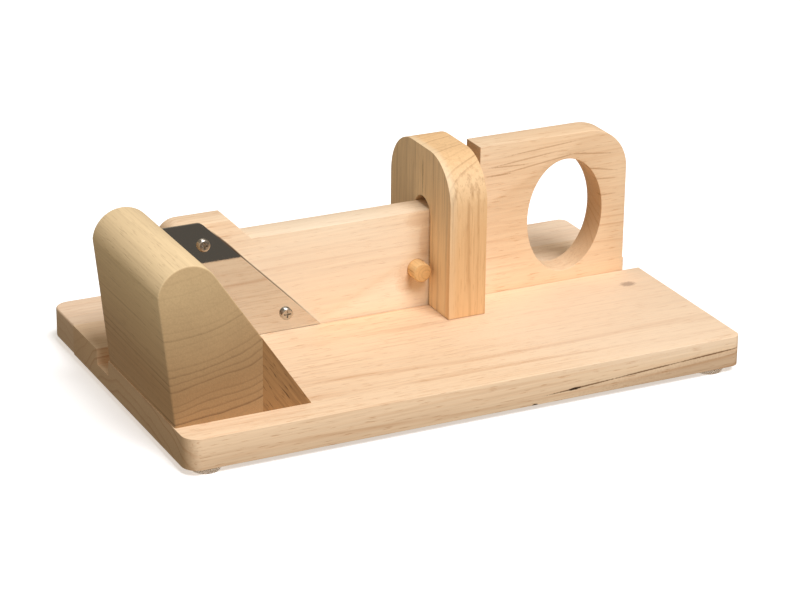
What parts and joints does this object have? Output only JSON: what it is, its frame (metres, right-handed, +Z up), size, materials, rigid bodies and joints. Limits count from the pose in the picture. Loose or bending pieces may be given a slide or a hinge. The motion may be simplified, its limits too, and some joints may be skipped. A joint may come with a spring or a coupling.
{
  "type": "wooden push slicer",
  "caption": "Small wooden slicer: board with a palm grip, and an upright pusher with an oval hand hold and a slanted steel blade that slides in a groove behind the grip.",
  "frame": {"origin": "middle of the whole object's footprint, on the surface it stands on", "axes": "+X along the board towards the pusher's tall end, +Y from the front edge to the rear, +Z up"},
  "size_m": [0.3066, 0.184, 0.1029],
  "materials": {
    "board_wood": "planed pale hardwood, light oil, eased edges",
    "grip_wood": "sanded pale hardwood, end grain on the front and rear faces",
    "wedge_wood": "darker end grain, sanded",
    "pusher_wood": "planed pale hardwood, light oil",
    "saddle_wood": "sanded pale hardwood, rounded edges",
    "peg_wood": "turned dowel",
    "blade_steel": "mirror polished, ground edge",
    "screw_steel": "plated",
    "foot_clear": "clear soft plastic bumper"
  },
  "bodies": {
    "base": {"base_front_board": "board_wood", "base_rear_board": "board_wood", "grip_block": "grip_wood", "grip_toe_wedge": "wedge_wood", "grip_screw_front": "screw_steel", "grip_screw_middle": "screw_steel", "grip_screw_rear": "screw_steel", "foot_front_left": "foot_clear", "foot_front_right": "foot_clear", "foot_rear_left": "foot_clear", "foot_rear_right": "foot_clear"},
    "pusher": {"pusher_board": "pusher_wood", "blade": "blade_steel", "blade_screw_upper": "screw_steel", "blade_screw_lower": "screw_steel"},
    "saddle": {"saddle": "saddle_wood"},
    "peg": {"saddle_peg": "peg_wood"}
  },
  "joints": [
    {"name": "pusher_slide", "type": "slide", "parent": "base", "child": "pusher", "axis": [1, 0, 0], "range_m": [-0.007, 0.095]},
    {"name": "saddle_play", "type": "slide", "parent": "pusher", "child": "saddle", "axis": [1, 0, 0], "range_m": [-0.0014, 0.0076]},
    {"name": "peg_pull", "type": "slide", "parent": "pusher", "child": "peg", "axis": [0, -1, 0], "range_m": [0, 0.024]}
  ]
}
